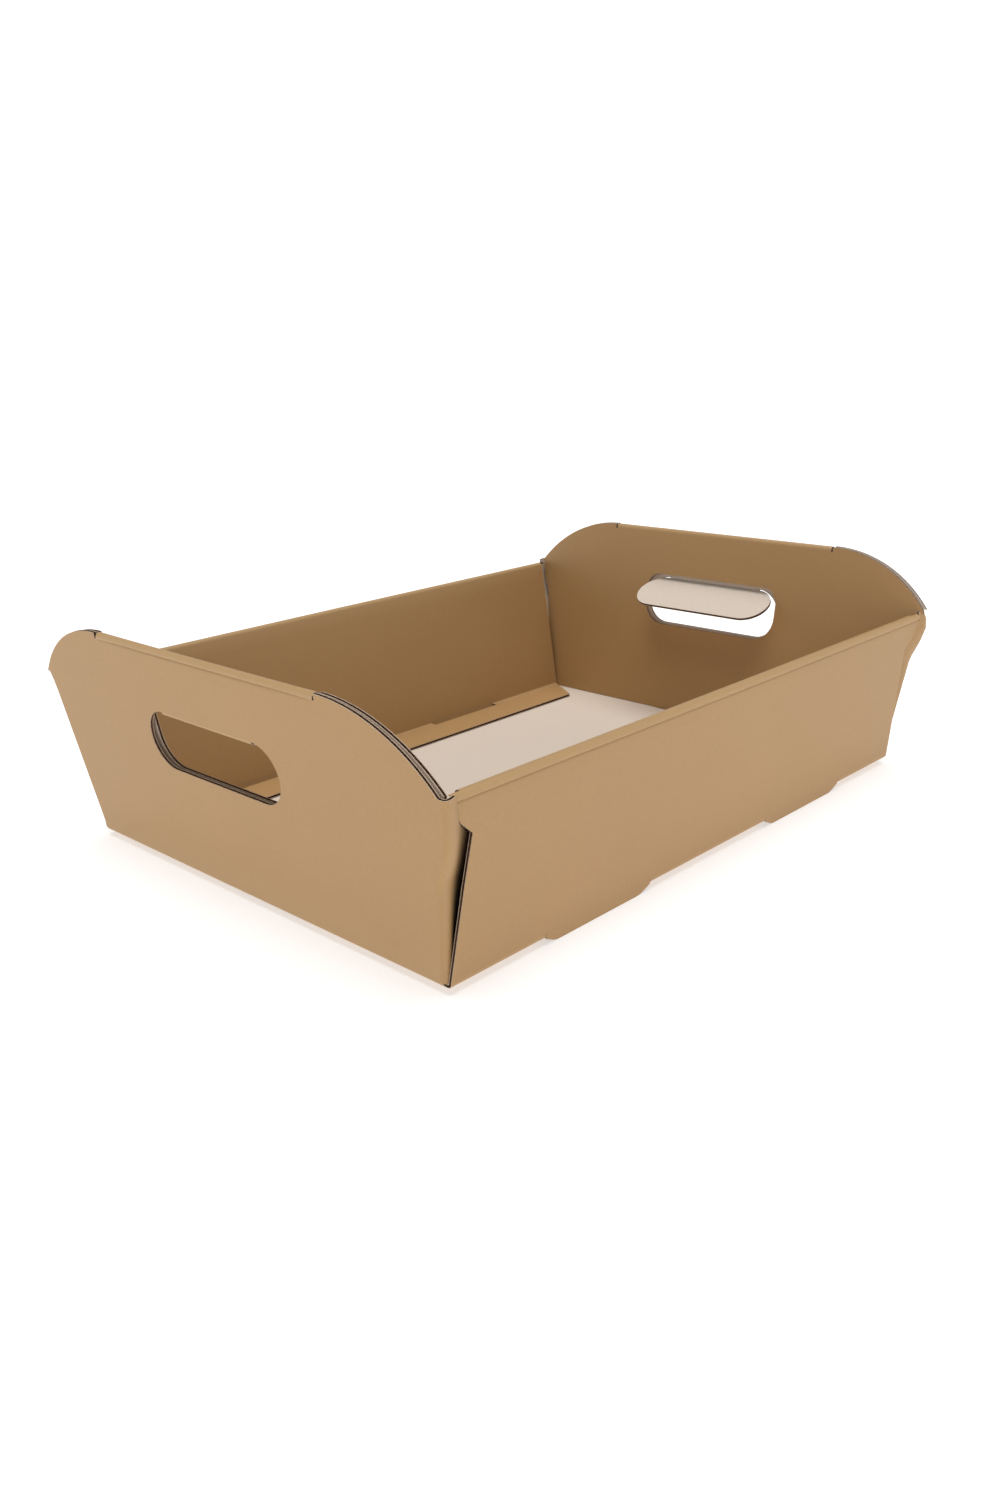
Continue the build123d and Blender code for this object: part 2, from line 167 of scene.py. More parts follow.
# --- worked out from the sizes above and from the frame ---
SIDE_SLOPE = math.tan(math.radians(SIDE_LEAN))
END_SLOPE = math.tan(math.radians(END_LEAN))
tray_low, tray_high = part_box("tray")
END_HEIGHT = tray_high.z / MM - FOOT_HEIGHT - BOARD * math.sin(math.radians(END_LEAN))
HALF_LENGTH = tray_high.x / MM - END_SLOPE * END_HEIGHT
HALF_WIDTH = BASE_WIDTH / 2
SIDE_LINING_FOOT = HALF_WIDTH - SIDE_TOE
END_LINING_FOOT = HALF_LENGTH - END_TOE
SIDE_LINING_SLOPE = (HALF_WIDTH + SIDE_SLOPE * SIDE_HEIGHT - SIDE_RIM - SIDE_LINING_FOOT) / SIDE_HEIGHT
END_LINING_SLOPE = (HALF_LENGTH + END_SLOPE * END_HEIGHT - END_RIM - END_LINING_FOOT) / END_HEIGHT
SIDE_SLANT = SIDE_HEIGHT / math.cos(math.radians(SIDE_LEAN))
END_SLANT = END_HEIGHT / math.cos(math.radians(END_LEAN))
FLANGE_LEVEL = BOARD + PLY_GAP + HALF
TUCK_HALF = HALF_WIDTH - BOARD / math.cos(math.radians(SIDE_LEAN)) - PLY_GAP
HINGE_SLANT = HOLE_LOW + HOLE_HEIGHT
EAR_LOW = TUCK_FLAP_HEIGHT + EAR_STEP
SHOULDER_HEIGHT = SIDE_HEIGHT + SHOULDER_ABOVE_RIM
FLAT_EDGE = CREASE_BEND + HALF
BASE_HALF_X = HALF_LENGTH - END_JOINT
BASE_HALF_Y = HALF_WIDTH - SIDE_JOINT


# --- leaning planes and folded sections ---
def up_slope(height, slope):
    """Distance up a leaning wall that reaches a height."""
    return height / math.cos(math.atan(slope))


def corner(foot, slope, height, side):
    """Middle of a leaning sheet at a height; side is -1 inside the plane at foot, 1 outside it."""
    return Vector((foot + slope * height + side * up_slope(HALF, slope), height))


def slant_of(foot, slope, point):
    """How far up a leaning plane a point of the section lies."""
    lean = math.atan(slope)
    return (point.x - foot) * math.sin(lean) + point.y * math.cos(lean)


def middle_at(foot, slope, slant, side):
    """Middle of a leaning sheet, this far up its face."""
    lean = math.atan(slope)
    along = Vector((math.sin(lean), math.cos(lean)))
    across = Vector((math.cos(lean), -math.sin(lean)))
    return Vector((foot, 0)) + along * slant + across * side * HALF


def leg(bend, slope):
    """Straight sheet that a fold of this radius takes up on each side, and a little over."""
    return bend * math.tan((math.pi / 2 - math.atan(slope)) / 2) + HALF


def corner_line(height):
    """Outer face of the corner flaps, from the middle of the tray, at a height."""
    return TUCK_HALF + SIDE_SLOPE * height


def end_outside(height):
    """Outer face of an end wall at a height."""
    return HALF_LENGTH + END_SLOPE * height


def lining_end(height):
    """Cut end of a long side's lining at a height."""
    foot = END_LINING_FOOT + END_LINING_SLOPE * BOARD - LINING_END_GAP
    return foot + LINING_END_RISE * height / SIDE_HEIGHT


class FoldedPath:
    """Middle line of the board across its folds: straight stretches joined by arcs.

    The printed side lies to the right of the line, and a place on it is the length of board before it.
    """

    def __init__(self, points, bends):
        self.stretches = []
        self.leg_start = []
        self.trims = [0.0]
        self.rows = []
        self.folds = []
        for before, here, after, bend in zip(points, points[1:], points[2:], bends):
            turn = (here - before).angle_signed(after - here)
            self.trims.append(bend * math.tan(abs(turn) / 2))
        self.trims.append(0.0)
        length = 0.0
        for index, (here, after) in enumerate(zip(points, points[1:])):
            way = after - here
            angle = math.atan2(way.y, way.x)
            start = here + way.normalized() * self.trims[index]
            straight = way.length - self.trims[index] - self.trims[index + 1]
            self.leg_start.append(length)
            self.stretches.append((length, start, angle, 0.0))
            length += straight
            if index < len(bends):
                turn = -way.angle_signed(points[index + 2] - after)
                curve = math.copysign(1 / bends[index], turn)
                self.stretches.append((length, start + way.normalized() * straight, angle, curve))
                steps = max(2, math.ceil(math.degrees(abs(turn)) / ARC_STEP))
                arc = abs(turn) * bends[index]
                self.rows += [length + arc * step / steps for step in range(steps + 1)]
                self.folds.append((length, length + arc))
                length += arc
        self.length = length

    def on_leg(self, index, distance):
        """Place on a straight stretch, this far from the sharp corner before it."""
        return self.leg_start[index] + distance - self.trims[index]

    def at(self, place):
        """Point of the middle line, and the direction of the printed side there."""
        start, point, angle, curve = next(
            (s for s in reversed(self.stretches) if place >= s[0]), self.stretches[0]
        )
        run = place - start
        end = angle + curve * run
        if curve:
            point = point + Vector((math.sin(end) - math.sin(angle), math.cos(angle) - math.cos(end))) / curve
        else:
            point = point + Vector((math.cos(angle), math.sin(angle))) * run
        return point, Vector((math.sin(end), -math.cos(end)))

    def folded(self, place):
        """1 in the middle of a fold and 0 on the flat board; the print is paler there, partly as a painted highlight.
        """
        best = 0.0
        for start, end in self.folds:
            middle = (start + end) / 2
            reach = (end - start) / 2 + 0.6
            best = max(best, 1 - abs(place - middle) / reach)
        return min(1.0, 1.6 * max(0.0, best))


# --- outlines on the flat board ---
def rounded(corners):
    """Outline whose corners (x, y, radius) are rounded."""
    outline = []
    for index, (x, y, radius) in enumerate(corners):
        here = Vector((x, y))
        if radius == 0:
            outline.append(here)
            continue
        before = Vector(corners[index - 1][:2]) - here
        after = Vector(corners[(index + 1) % len(corners)][:2]) - here
        half_angle = before.angle(after) / 2
        middle = here + (before.normalized() + after.normalized()).normalized() * radius / math.sin(half_angle)
        first = here + before.normalized() * radius / math.tan(half_angle) - middle
        sweep = first.angle_signed(here + after.normalized() * radius / math.tan(half_angle) - middle)
        steps = max(2, math.ceil(abs(math.degrees(sweep)) / 9))
        for step in range(steps + 1):
            turn = -sweep * step / steps
            spot = middle + Matrix.Rotation(turn, 2) @ first
            if not outline or (spot - outline[-1]).length > 0.001:
                outline.append(spot)
    if (outline[0] - outline[-1]).length < 0.001:
        outline.pop()
    return outline


def shoulder(start, end, steps=22):
    """Arc from start, where it is level, down to end; the first point is left out."""
    across = end[0] - start[0]
    drop = start[1] - end[1]
    radius = (across * across + drop * drop) / (2 * drop)
    sweep = math.asin(across / radius)
    return [
        Vector((start[0] + radius * math.sin(sweep * k / steps), start[1] - radius * (1 - math.cos(sweep * k / steps))))
        for k in range(1, steps + 1)
    ]


def both_halves(half):
    """Whole outline from its points at x > 0, listed from the bottom up."""
    return [Vector(p) for p in half] + [Vector((-p[0], p[1])) for p in reversed(half)]


def rectangle(x0, y0, x1, y1):
    return [Vector((x0, y0)), Vector((x1, y0)), Vector((x1, y1)), Vector((x0, y1))]


def spaced(low, high, step):
    """Multiples of step between low and high."""
    return [k * step for k in range(math.ceil(low / step), math.floor(high / step) + 1)]


# --- turning an outline into layers of paper ---
class PaperMesh:
    """Gathers closed sheets of paper, and makes one object of them."""

    def __init__(self):
        self.points = []
        self.faces = []
        self.finishes = []
        self.blank = []

    def add_sheet(self, flat, place, high, low, finishes, joined=None):
        """Adds a sheet between two heights over the middle of the board.

        flat is (points, faces) on the flat board; finishes are for its top, its underside and its cut edges.
        """
        points, faces = flat
        first = len(self.points)
        for level in (high, low):
            for x, y in points:
                offset = level(x, y)
                spot, fold, across, along = place(x, y, offset)
                self.points.append(spot)
                # third value: above 0, the fold (stretched print plus painted highlight); below 0, painted shade in a
                # corner gap
                self.blank.append((across * MM, along * MM, fold))
        count = len(points)
        a, b, c = (Vector(self.points[first + i]) for i in faces[0][:3])
        over = Vector(place(*points[faces[0][0]], HALF)[0]) - Vector(place(*points[faces[0][0]], -HALF)[0])
        flip = (b - a).cross(c - a).dot(over) < 0
        edges = {}
        for face in faces:
            loop = tuple(reversed(face)) if flip else tuple(face)
            self.faces.append([first + i for i in loop])
            self.finishes.append(finishes[0])
            self.faces.append([first + count + i for i in reversed(loop)])
            self.finishes.append(finishes[1])
            for i, j in zip(loop, loop[1:] + loop[:1]):
                edges[(i, j)] = edges.get((i, j), 0) + 1
        for i, j in edges:
            if (j, i) in edges or (joined and joined(points[i], points[j])):
                continue
            self.faces.append([first + j, first + i, first + count + i, first + count + j])
            self.finishes.append(finishes[2])

    def make(self, name, materials, weld=True):
        mesh = bpy.data.meshes.new(name)
        mesh.from_pydata([tuple(p * MM for p in spot) for spot in self.points], [], self.faces)
        mesh.polygons.foreach_set("material_index", self.finishes)
        blank = mesh.attributes.new("blank", "FLOAT_VECTOR", "POINT")
        blank.data.foreach_set("vector", [value for spot in self.blank for value in spot])
        for material in materials:
            mesh.materials.append(material)
        if weld:
            bm = bmesh.new()
            bm.from_mesh(mesh)
            bmesh.ops.remove_doubles(bm, verts=bm.verts[:], dist=0.01 * MM)
            bm.to_mesh(mesh)
            bm.free()
        mesh.shade_smooth()
        mesh.set_sharp_from_angle(angle=math.radians(32))
        piece = bpy.data.objects.new(name, mesh)
        bpy.context.scene.collection.objects.link(piece)
        return piece


def filled(outline, holes, x_cuts, y_cuts):
    """Fills an outline with faces that are cut along the given lines."""
    bm = bmesh.new()
    for loop in (outline, *holes):
        verts = [bm.verts.new((x, y, 0)) for x, y in loop]
        for i, vert in enumerate(verts):
            bm.edges.new((vert, verts[(i + 1) % len(verts)]))
    bmesh.ops.triangle_fill(bm, use_beauty=True, use_dissolve=False, edges=bm.edges[:])
    for axis, cuts in ((Vector((1, 0, 0)), x_cuts), (Vector((0, 1, 0)), y_cuts)):
        for cut in cuts:
            everything = bm.verts[:] + bm.edges[:] + bm.faces[:]
            bmesh.ops.bisect_plane(bm, geom=everything, dist=0.001, plane_co=axis * cut, plane_no=axis)
    bm.verts.index_update()
    points = [(v.co.x, v.co.y) for v in bm.verts]
    faces = [[v.index for v in f.verts] for f in bm.faces]
    bm.free()
    return points, faces


def fluted(outline, holes, cuts, pitch, across):
    """Strips of the wavy medium inside an outline; across is the axis that its waves follow."""
    step = pitch / FLUTE_STEPS
    loops = [[(p[across], p[1 - across]) for p in loop] for loop in (outline, *holes)]
    low = min(p[0] for p in loops[0])
    high = max(p[0] for p in loops[0])

    def spans(place):
        """Stretches of board along one line of the medium."""
        ends = []
        for loop in loops:
            for (w0, v0), (w1, v1) in zip(loop, loop[1:] + loop[:1]):
                if (w0 > place) != (w1 > place):
                    ends.append(v0 + (v1 - v0) * (place - w0) / (w1 - w0))
        ends.sort()
        return [(a + MEDIUM_INSET, b - MEDIUM_INSET) for a, b in zip(ends[::2], ends[1::2])]

    points = []
    faces = []
    known = {}

    def vertex(line, place):
        key = (line, round(place, 3))
        if key not in known:
            known[key] = len(points)
            spot = (line * step, place)
            points.append(spot if across == 0 else (spot[1], spot[0]))
        return known[key]

    first = math.ceil((low + MEDIUM_INSET) / step)
    last = math.floor((high - MEDIUM_INSET) / step)
    for line in range(first, last):
        here = spans(line * step)
        there = spans((line + 1) * step)
        if len(here) != len(there):
            continue
        for (a, b), (c, d) in zip(here, there):
            if b - a < 0.4 or d - c < 0.4 or max(a, c) >= min(b, d):
                continue
            inner = [cut for cut in cuts if max(a, c) + 0.05 < cut < min(b, d) - 0.05]
            left = [vertex(line, v) for v in [a, *inner, b]]
            right = [vertex(line + 1, v) for v in [c, *inner, d]]
            for k in range(len(left) - 1):
                faces.append([left[k], right[k], right[k + 1], left[k + 1]])
    return points, faces


class Board:
    """The fluted board: adds a panel's two liners and its medium."""

    def __init__(self, settings, liners, flutes):
        self.pitch = settings.flute_pitch / MM
        self.liner = settings.liner_thickness / MM
        self.medium = settings.medium_thickness / MM
        self.liners = liners
        self.flutes = flutes

    def wave(self, place):
        """Height of the medium; with six rows to a flute this has flat crests, glued to the liners."""
        room = HALF - self.liner - self.medium / 2 - 0.01
        return room * math.sin(math.tau * place / self.pitch) / math.sin(math.tau / FLUTE_STEPS)

    def panel(self, outline, place, across, rows=(), columns=(), holes=(), joined=None):
        """Adds a flat or folded panel, whose board bends at the rows (along y) and columns (along x)."""
        low = Vector((min(p[0] for p in outline), min(p[1] for p in outline)))
        high = Vector((max(p[0] for p in outline), max(p[1] for p in outline)))
        x_cuts = spaced(low.x, high.x, LINER_CELL) + [column for column in columns if low.x < column < high.x]
        y_cuts = spaced(low.y, high.y, LINER_CELL) + [row for row in rows if low.y < row < high.y]
        flat = filled(outline, holes, x_cuts, y_cuts)
        lined = {"flat": flat, "place": place, "joined": joined}
        self.liners.add_sheet(
            high=lambda x, y: HALF,
            low=lambda x, y: HALF - self.liner,
            finishes=(PRINTED, INSIDE, CUT),
            **lined,
        )
        self.liners.add_sheet(
            high=lambda x, y: self.liner - HALF,
            low=lambda x, y: -HALF,
            finishes=(INSIDE, WHITE, CUT),
            **lined,
        )
        cuts = sorted(spaced(low.x, high.x, FLUTE_CELL) + list(columns))
        if across == 0:
            cuts = sorted(spaced(low.y, high.y, FLUTE_CELL) + list(rows))
        medium = fluted(outline, holes, cuts, self.pitch, across)
        if medium[1]:
            self.flutes.add_sheet(
                medium,
                place,
                high=lambda x, y: self.wave((x, y)[across]) + self.medium / 2,
                low=lambda x, y: self.wave((x, y)[across]) - self.medium / 2,
                finishes=(MEDIUM, MEDIUM, MEDIUM),
            )


# --- placing panels in the tray ---
class TrayShape:
    """Places flat board in the folded tray, whose walls bow out a little between their corners."""

    def __init__(self, settings):
        self.end_bow = {-1: settings.near_end_bow / MM, 1: settings.far_end_bow / MM}
        self.side_bow = settings.side_bow / MM
        self.press = settings.crease_depth / MM

    def end_shift(self, end, y, height):
        """How far an end stands out of its straight place."""
        span = 1 - min(1.0, abs(y) / (corner_line(SHOULDER_HEIGHT))) ** 2
        return self.end_bow[end] * span * max(0.0, height) / END_HEIGHT

    def side_shift(self, x, height):
        span = 1 - min(1.0, abs(x) / HALF_LENGTH) ** 2
        return self.side_bow * span * span * max(0.0, height) / SIDE_HEIGHT

    def pressed(self, offset, run, share=1.0):
        """Squeezes the board at a crease, whose middle is this far away."""
        depth = self.press * eased(share) * math.exp(-((run / CREASE_SPREAD) ** 2))
        return offset - depth * (offset + HALF) / BOARD

    def base(self, x, y, offset):
        return Vector((x, y, FOOT_HEIGHT + HALF - offset)), 0.0, y, x

    def side(self, path, side, crease=None):
        """Places board whose x is the tray's and whose y is the place on a path across the tray."""

        def place(x, y, offset):
            if crease is not None:
                offset = self.pressed(offset, y - crease)
            middle, printed = path.at(y)
            spot = middle + printed * offset
            reach = spot.x + self.side_shift(x, spot.y)
            return Vector((x, side * reach, spot.y + FOOT_HEIGHT)), path.folded(y), y, x

        return place

    def end(self, path, end, crease=None):
        """Places board whose x is the tray's y and whose y is the place on a path along the tray."""

        def place(x, y, offset):
            if crease is not None and abs(x) <= END_FOLD_HALF + 0.1:
                offset = self.pressed(offset, y - crease, (END_FOLD_HALF - abs(x)) / CREASE_FADE)
            middle, printed = path.at(y)
            spot = middle + printed * offset
            reach = spot.x + self.end_shift(end, x, spot.y)
            return Vector((end * reach, x, spot.y + FOOT_HEIGHT)), path.folded(y), x, y

        return place


def eased(share):
    """0 to 1 with soft ends."""
    share = min(1.0, max(0.0, share))
    return share * share * (3 - 2 * share)


def bulge(end, side, height):
    """How far a corner fold stands out of its straight line at a height."""
    return between(CORNER_BULGE[end, side], height)


def between(steps, place):
    """Value at a place, from (place, value) steps joined by straight lines."""
    if place <= steps[0][0]:
        return steps[0][1]
    for (low, value), (high, next_value) in zip(steps, steps[1:]):
        if place < high:
            return value + (next_value - value) * (place - low) / (high - low)
    return steps[-1][1]


def side_inset(height):
    """How far a long side's cut edge stands in from the end wall's face at a height."""
    steps = (
        (0.0, SIDE_CUT_INSET),
        (SIDE_HEIGHT / 2, SIDE_MIDDLE_INSET),
        (TUCK_FLAP_HEIGHT, SIDE_WAIST_INSET),
        (EAR_LOW, SIDE_EAR_LOW_INSET),
        (SIDE_HEIGHT, SIDE_EAR_INSET),
    )
    return between(steps, height)


def touching(value, target):
    return abs(value - target) < 0.01


def add_base(board, shape):
    """The base panel, with its slots for the lock tabs."""
    side_slot = up_slope(BOARD, SIDE_LINING_SLOPE) + SIDE_LINING_SLOPE * BOARD + 2 * LOCK_CLEARANCE
    end_slot = up_slope(BOARD, END_LINING_SLOPE) + END_LINING_SLOPE * BOARD + 2 * LOCK_CLEARANCE
    side_at = corner(SIDE_LINING_FOOT, SIDE_LINING_SLOPE, HALF, 1).x
    end_at = corner(END_LINING_FOOT, END_LINING_SLOPE, HALF, 1).x
    slots = []
    for x in (-1, 1):
        middle = x * LOCK_MIDDLE
        reach = LOCK_LENGTH / 2 + LOCK_CLEARANCE
        for y in (-1, 1):
            slots.append(rectangle(middle - reach, y * side_at - side_slot / 2, middle + reach, y * side_at + side_slot / 2))
        reach = END_LOCK_LENGTH / 2 + LOCK_CLEARANCE
        slots.append(rectangle(x * end_at - end_slot / 2, -reach, x * end_at + end_slot / 2, reach))

    def joined(a, b):
        along_side = touching(abs(a[1]), BASE_HALF_Y) and touching(abs(b[1]), BASE_HALF_Y)
        return along_side or (touching(abs(a[0]), BASE_HALF_X) and touching(abs(b[0]), BASE_HALF_X))

    outline = rectangle(-BASE_HALF_X, -BASE_HALF_Y, BASE_HALF_X, BASE_HALF_Y)
    board.panel(outline, shape.base, across=1, holes=slots, joined=joined)


def add_long_side(board, shape, side):
    """Outer wall, folded rim, lining and flange in one run, then the feet and the lock tabs."""
    wall_foot = corner(HALF_WIDTH, SIDE_SLOPE, HALF, -1)
    wall_rim = corner(HALF_WIDTH, SIDE_SLOPE, SIDE_HEIGHT - HALF, -1)
    lining_rim = corner(SIDE_LINING_FOOT, SIDE_LINING_SLOPE, SIDE_HEIGHT - HALF, 1)
    lining_foot = corner(SIDE_LINING_FOOT, SIDE_LINING_SLOPE, FLANGE_LEVEL, 1)
    flange_back = SIDE_LINING_FOOT + SIDE_LINING_SLOPE * FLANGE_LEVEL
    path = FoldedPath(
        [
            Vector((BASE_HALF_Y, HALF)),
            wall_foot,
            wall_rim,
            lining_rim,
            lining_foot,
            Vector((flange_back - FLANGE_WIDTH, FLANGE_LEVEL)),
        ],
        [CREASE_BEND, RIM_BEND, CREASE_BEND, CREASE_BEND],
    )

    def wall(slant):
        return path.on_leg(1, slant - slant_of(HALF_WIDTH, SIDE_SLOPE, wall_foot))

    def lining(slant):
        return path.on_leg(3, slant_of(SIDE_LINING_FOOT, SIDE_LINING_SLOPE, lining_rim) - slant)

    def flange(reach):
        return path.on_leg(4, lining_foot.x - reach)

    wall_low = up_slope(HALF, SIDE_SLOPE) + leg(CREASE_BEND, SIDE_SLOPE)
    wall_top = SIDE_SLANT - HALF - leg(RIM_BEND, SIDE_SLOPE)
    lining_low = up_slope(FLANGE_LEVEL, SIDE_LINING_SLOPE) + leg(CREASE_BEND, SIDE_LINING_SLOPE)
    lining_top = up_slope(SIDE_HEIGHT - HALF, SIDE_LINING_SLOPE) - leg(CREASE_BEND, SIDE_LINING_SLOPE)
    rim_middle = path.on_leg(2, (wall_rim.x - lining_rim.x) / 2)
    rim_end = end_outside(SIDE_HEIGHT) - SIDE_EAR_INSET
    flange_end = lining_end(FLANGE_LEVEL) - FLANGE_END_INSET
    outline = both_halves(
        [
            (BASE_HALF_X, 0),
            (HALF_LENGTH - SIDE_CUT_INSET, 0),
            (HALF_LENGTH - SIDE_CUT_INSET, wall(wall_low)),
            (end_outside(SIDE_HEIGHT / 2) - SIDE_MIDDLE_INSET, wall(SIDE_SLANT / 2)),
            (end_outside(TUCK_FLAP_HEIGHT) - SIDE_WAIST_INSET, wall(up_slope(TUCK_FLAP_HEIGHT, SIDE_SLOPE))),
            (end_outside(EAR_LOW) - SIDE_EAR_LOW_INSET, wall(up_slope(EAR_LOW, SIDE_SLOPE))),
            (rim_end, wall(wall_top)),
            (rim_end, rim_middle),
            (lining_end(SIDE_HEIGHT), rim_middle),
            (lining_end(lining_top), lining(lining_top)),
            (lining_end(lining_low), lining(lining_low)),
            (flange_end, path.leg_start[4]),
            (flange_end - FLANGE_TAPER, path.length),
        ]
    )
    foot_slot = (HALF_WIDTH - FOOT_HEIGHT - FOOT_SLOT_MARGIN - BASE_HALF_Y, wall(wall_low))
    lock_slot = (lining(lining_low), flange(flange_back - LOCK_NOTCH))
    foot_reach = FOOT_LENGTH / 2 + FOOT_SLOT_MARGIN
    lock_reach = LOCK_LENGTH / 2 + CUT_GAP
    holes = []
    for x in (-1, 1):
        foot_at, lock_at = x * FOOT_MIDDLE, x * LOCK_MIDDLE
        holes.append(rectangle(foot_at - foot_reach, foot_slot[0], foot_at + foot_reach, foot_slot[1]))
        holes.append(rectangle(lock_at - lock_reach, lock_slot[0], lock_at + lock_reach, lock_slot[1]))
    crease = path.folds[1][0] - CREASE_BEFORE_FOLD
    rows = path.rows + [crease + run for run in CREASE_ROWS]
    board.panel(
        outline,
        shape.side(path, side, crease),
        across=1,
        rows=rows,
        holes=holes,
        joined=lambda a, b: touching(a[1], 0) and touching(b[1], 0) and max(abs(a[0]), abs(b[0])) < BASE_HALF_X + 0.01,
    )

    foot_path = FoldedPath(
        [middle_at(HALF_WIDTH, SIDE_SLOPE, -SPARE, -1), middle_at(HALF_WIDTH, SIDE_SLOPE, SPARE, -1)], []
    )
    lock_path = FoldedPath(
        [
            middle_at(SIDE_LINING_FOOT, SIDE_LINING_SLOPE, SPARE, 1),
            middle_at(SIDE_LINING_FOOT, SIDE_LINING_SLOPE, -SPARE, 1),
        ],
        [],
    )
    foot_low = SPARE - up_slope(FOOT_HEIGHT, SIDE_SLOPE)
    for x in (-1, 1):
        left, right = x * FOOT_MIDDLE - FOOT_LENGTH / 2, x * FOOT_MIDDLE + FOOT_LENGTH / 2
        foot = rounded(
            [
                (left + FOOT_TAPER, foot_low, FOOT_SOFT),
                (right - FOOT_TAPER, foot_low, FOOT_SOFT),
                (right, SPARE, 0),
                (right, SPARE + wall_low - PANEL_GAP, 0),
                (left, SPARE + wall_low - PANEL_GAP, 0),
                (left, SPARE, 0),
            ]
        )
        board.panel(foot, shape.side(foot_path, side), across=1)
        lock = rectangle(
            x * LOCK_MIDDLE - LOCK_LENGTH / 2,
            SPARE - lining_low + PANEL_GAP,
            x * LOCK_MIDDLE + LOCK_LENGTH / 2,
            SPARE + LOCK_DROP,
        )
        board.panel(lock, shape.side(lock_path, side), across=1)


def add_end(board, shape, end, hole_shift):
    """An end's outer wall, folded rim and lining, with the hand hole through both layers."""
    wall_foot = corner(HALF_LENGTH, END_SLOPE, HALF, -1)
    wall_path = FoldedPath(
        [Vector((BASE_HALF_X, HALF)), wall_foot, middle_at(HALF_LENGTH, END_SLOPE, END_SLANT + SPARE, -1)],
        [CREASE_BEND],
    )
    over_top = END_SLANT + SPARE
    lining_path = FoldedPath(
        [
            middle_at(END_LINING_FOOT, END_LINING_SLOPE, over_top, 1),
            middle_at(END_LINING_FOOT, END_LINING_SLOPE, -SPARE, 1),
        ],
        [],
    )

    def wall(slant):
        return wall_path.on_leg(1, slant - slant_of(HALF_LENGTH, END_SLOPE, wall_foot))

    def fold_edge(side, height):
        """Where the flat wall ends beside a corner fold."""
        return corner_line(height) + bulge(end, side, height) - FLAT_EDGE, wall(up_slope(height, END_SLOPE))

    top = END_SLANT - HALF - leg(CREASE_BEND, END_SLOPE)
    seam = top - RIM_SEAM
    tuck_top = up_slope(TUCK_FLAP_HEIGHT, END_SLOPE) + HALF
    shoulder_slant = up_slope(SHOULDER_HEIGHT, END_SLOPE)
    shoulder_out = corner_line(SHOULDER_HEIGHT) + SHOULDER_PAST_FOLD
    fold_end = END_FOLD_HALF + FOLD_NICK
    arc = shoulder((fold_end, END_SLANT), (shoulder_out, shoulder_slant))
    halves = []
    for side in (-1, 1):
        half = [
            (BASE_HALF_Y, 0),
            (BASE_HALF_Y, HALF_LENGTH - SIDE_CUT_INSET - BASE_HALF_X),
            (TUCK_HALF - HALF, HALF_LENGTH - SIDE_CUT_INSET - BASE_HALF_X),
        ]
        half += [fold_edge(side, height) for height in EDGE_HEIGHTS]
        half += [(p.x, wall(p.y)) for p in reversed(arc)]
        half += [
            (fold_end, wall(END_SLANT)),
            (fold_end, wall(top)),
            (END_FOLD_HALF, wall(top)),
            (END_FOLD_HALF, wall(seam)),
        ]
        halves.append(half)
    outline = [Vector(p) for p in halves[1]] + [Vector((-p[0], p[1])) for p in reversed(halves[0])]
    middle = HOLE_LENGTH / 2
    bend = HOLE_HEIGHT / 2
    flap_half = middle - bend
    hole = rounded(
        [
            (hole_shift - middle, wall(HOLE_LOW), bend),
            (hole_shift + middle, wall(HOLE_LOW), bend),
            (hole_shift + middle, wall(HINGE_SLANT), bend),
            (hole_shift + flap_half, wall(HINGE_SLANT + FLAP_ROOT), 0),
            (hole_shift - flap_half, wall(HINGE_SLANT + FLAP_ROOT), 0),
            (hole_shift - middle, wall(HINGE_SLANT), bend),
        ]
    )

    def on_seam(a, b):
        inside = max(abs(a[0]), abs(b[0])) < END_FOLD_HALF + 0.01
        level = touching(a[1], wall(seam)) and touching(b[1], wall(seam))
        beside = touching(abs(a[0]), END_FOLD_HALF) and touching(abs(b[0]), END_FOLD_HALF)
        return (touching(a[1], 0) and touching(b[1], 0)) or (inside and (level or beside))

    board.panel(
        outline,
        shape.end(wall_path, end),
        across=0,
        rows=wall_path.rows + [wall(seam)],
        holes=[hole],
        joined=on_seam,
    )

    lining_slant = up_slope(END_HEIGHT, END_LINING_SLOPE)
    lining_top = lining_slant - HALF - leg(CREASE_BEND, END_LINING_SLOPE)
    rim_path = FoldedPath(
        [
            middle_at(HALF_LENGTH, END_SLOPE, seam, -1),
            corner(HALF_LENGTH, END_SLOPE, END_HEIGHT - HALF, -1),
            corner(END_LINING_FOOT, END_LINING_SLOPE, END_HEIGHT - HALF, 1),
            middle_at(END_LINING_FOOT, END_LINING_SLOPE, lining_top, 1),
        ],
        [CREASE_BEND, CREASE_BEND],
    )
    crease = rim_path.folds[0][0] - CREASE_BEFORE_FOLD
    board.panel(
        rectangle(-END_FOLD_HALF, 0, END_FOLD_HALF, rim_path.length),
        shape.end(rim_path, end, crease),
        across=0,
        rows=rim_path.rows + [crease + run for run in CREASE_ROWS] + [RIM_SEAM],
        joined=lambda a, b: touching(a[1], b[1]) or max(a[1], b[1]) < RIM_SEAM + 0.01,
    )

